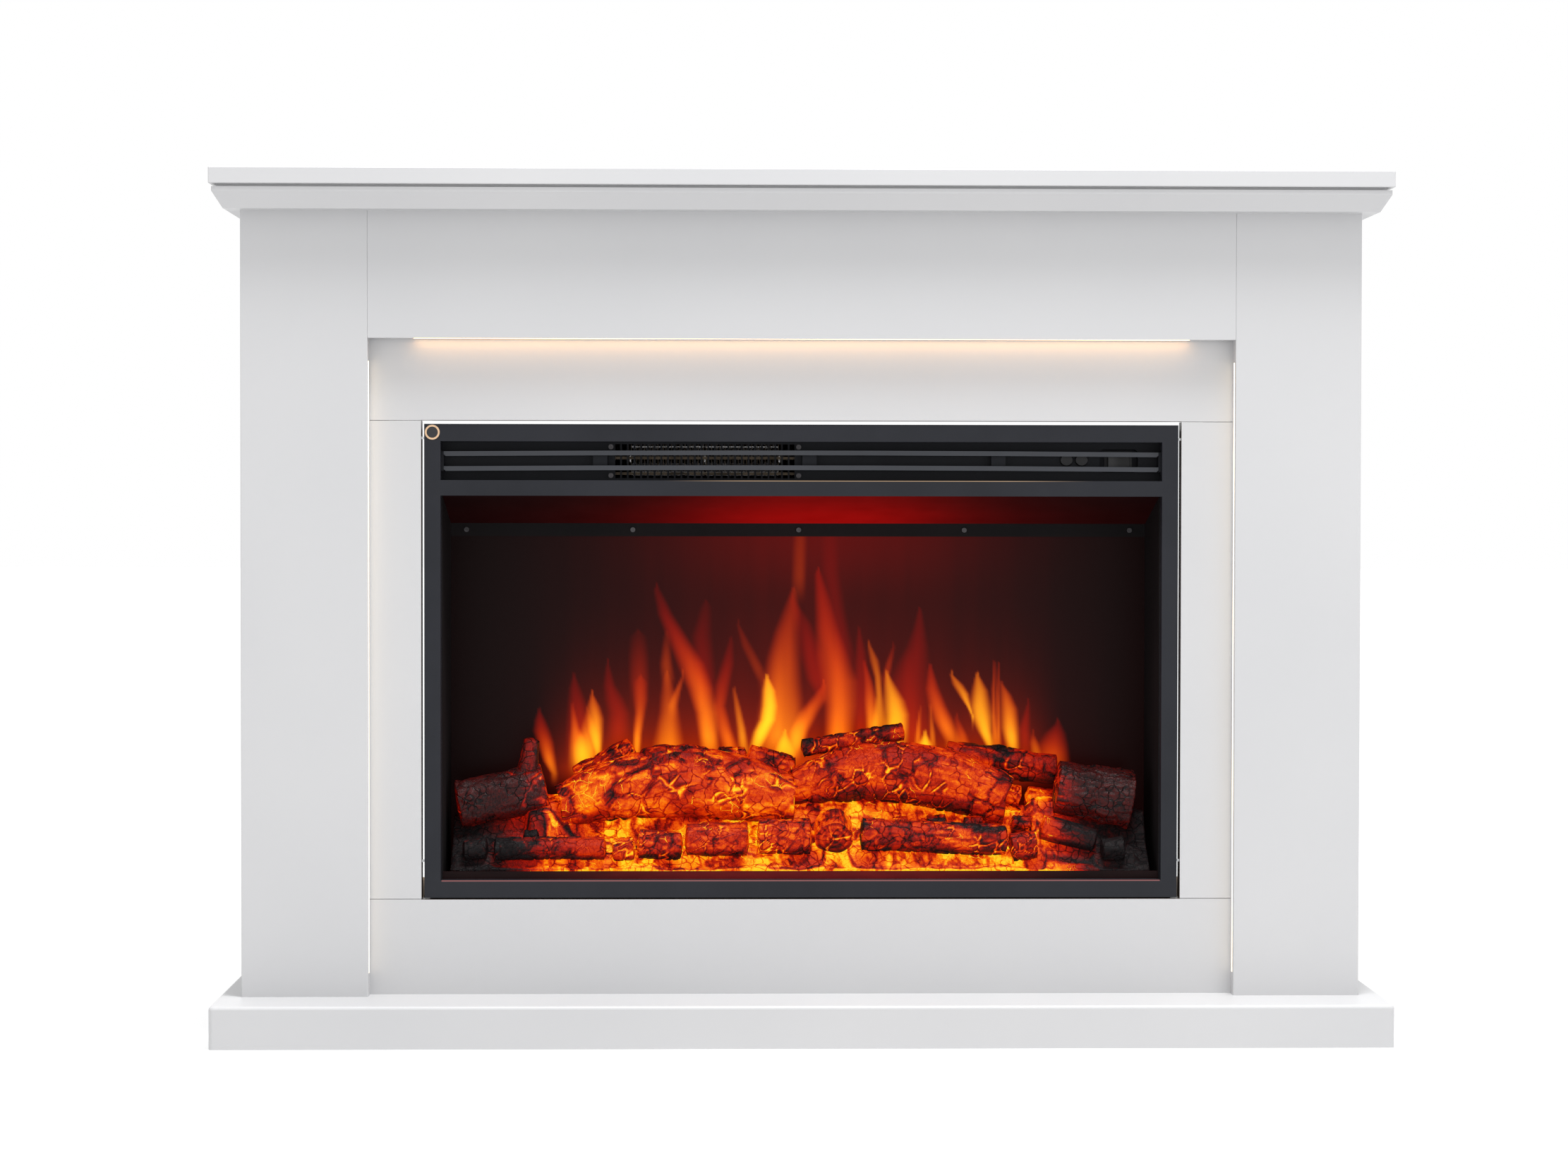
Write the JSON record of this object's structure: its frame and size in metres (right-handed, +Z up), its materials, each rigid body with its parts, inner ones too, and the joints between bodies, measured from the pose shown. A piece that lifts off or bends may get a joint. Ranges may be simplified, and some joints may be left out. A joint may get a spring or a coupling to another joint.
{
  "type": "electric fireplace",
  "caption": "Painted mantel surround and hearth with hidden accent lights, holding a black electric fire insert with logs, flame screen and louvred fan heater.",
  "frame": {"origin": "on the floor, mid width, halfway between the wall and the hearth's front face", "axes": "+X to the right seen from the room, +Y towards the wall, +Z up"},
  "size_m": [1.3, 0.325, 0.96],
  "materials": {
    "painted_board": "satin white paint on 18 mm board",
    "raw_board": "raw board",
    "zinc_steel": "zinc plated",
    "channel_aluminium": "extruded, satin",
    "circuit_board": "white solder mask",
    "opal_diffuser": "opal, lit from behind",
    "frame_black": "fine textured black powder coat",
    "casing_steel": "satin black",
    "lining_black": "matt black",
    "flame_screen": "smoked screen",
    "log_resin": "cast bark, hand painted",
    "ember_resin": "translucent ember bed",
    "black_plastic": "moulded",
    "disc_tan": "printed label stock",
    "reflector_foil": "bright",
    "motor_steel": "laminated steel"
  },
  "bodies": {
    "fireplace": {"back_panel_bottom": "painted_board", "back_panel_left": "painted_board", "back_panel_right": "painted_board", "back_panel_top": "painted_board", "cable_inlet": "black_plastic", "canopy_panel": "lining_black", "casing_back": "casing_steel", "casing_base": "casing_steel", "casing_sides": "casing_steel", "casing_top": "casing_steel", "control_board": "circuit_board", "control_panel": "frame_black", "ember_bed": "ember_resin", "ember_chunks": "log_resin", "ember_led_board": "circuit_board", "fan_motor": "motor_steel", "fire_shelf": "raw_board", "flame_led_board": "circuit_board", "flame_screen": "flame_screen", "frieze_panel": "painted_board", "hearth_battens": "raw_board", "hearth_shell": "painted_board", "heater_housing": "casing_steel", "heater_shelf": "casing_steel", "heating_element": "channel_aluminium", "led_channels": "channel_aluminium", "led_diffusers": "opal_diffuser", "led_strips": "circuit_board", "log_branches": "log_resin", "log_left_centre": "log_resin", "log_left_end": "log_resin", "log_right_centre": "log_resin", "log_right_end": "log_resin", "logs_front": "log_resin", "louvre_bars": "frame_black", "louvre_brackets": "frame_black", "machine_screws": "zinc_steel", "mantel_moulding": "painted_board", "mantel_top": "painted_board", "outlet_grille": "frame_black", "pilaster_front_left": "painted_board", "pilaster_front_right": "painted_board", "pilaster_returns": "painted_board", "plinth_strip": "lining_black", "retaining_clips": "zinc_steel", "rod_bearings": "casing_steel", "rod_motor": "motor_steel", "screen_angle": "lining_black", "side_liners": "lining_black", "side_panels": "painted_board", "sticker_disc": "disc_tan", "switch_housing": "black_plastic", "trim_frame": "frame_black", "wall_brackets": "zinc_steel"},
    "fan_rotor": {"fan_impeller": "reflector_foil"},
    "flicker_rod": {"flicker_rod": "reflector_foil"},
    "flame_button": {"flame_button": "black_plastic"},
    "heater_button": {"heater_button": "black_plastic"},
    "rocker": {"rocker_switch": "black_plastic"}
  },
  "joints": [
    {"name": "fan_spin", "type": "hinge", "parent": "fireplace", "child": "fan_rotor", "pos_m": [-0.1083, 0.0237, 0.6448], "axis": [1, 0, 0], "continuous": true},
    {"name": "flicker_spin", "type": "hinge", "parent": "fireplace", "child": "flicker_rod", "pos_m": [0, 0.1075, 0.2158], "axis": [1, 0, 0], "continuous": true},
    {"name": "flame_press", "type": "slide", "parent": "fireplace", "child": "flame_button", "axis": [0, 1, 0], "range_m": [0, 0.002], "stiffness_N_per_m": 600},
    {"name": "heater_press", "type": "slide", "parent": "fireplace", "child": "heater_button", "axis": [0, 1, 0], "range_m": [0, 0.002], "stiffness_N_per_m": 600},
    {"name": "rocker_rock", "type": "hinge", "parent": "fireplace", "child": "rocker", "pos_m": [0.356, -0.0395, 0.64225], "axis": [0, 0, 1], "range_deg": [-14, 0]}
  ]
}
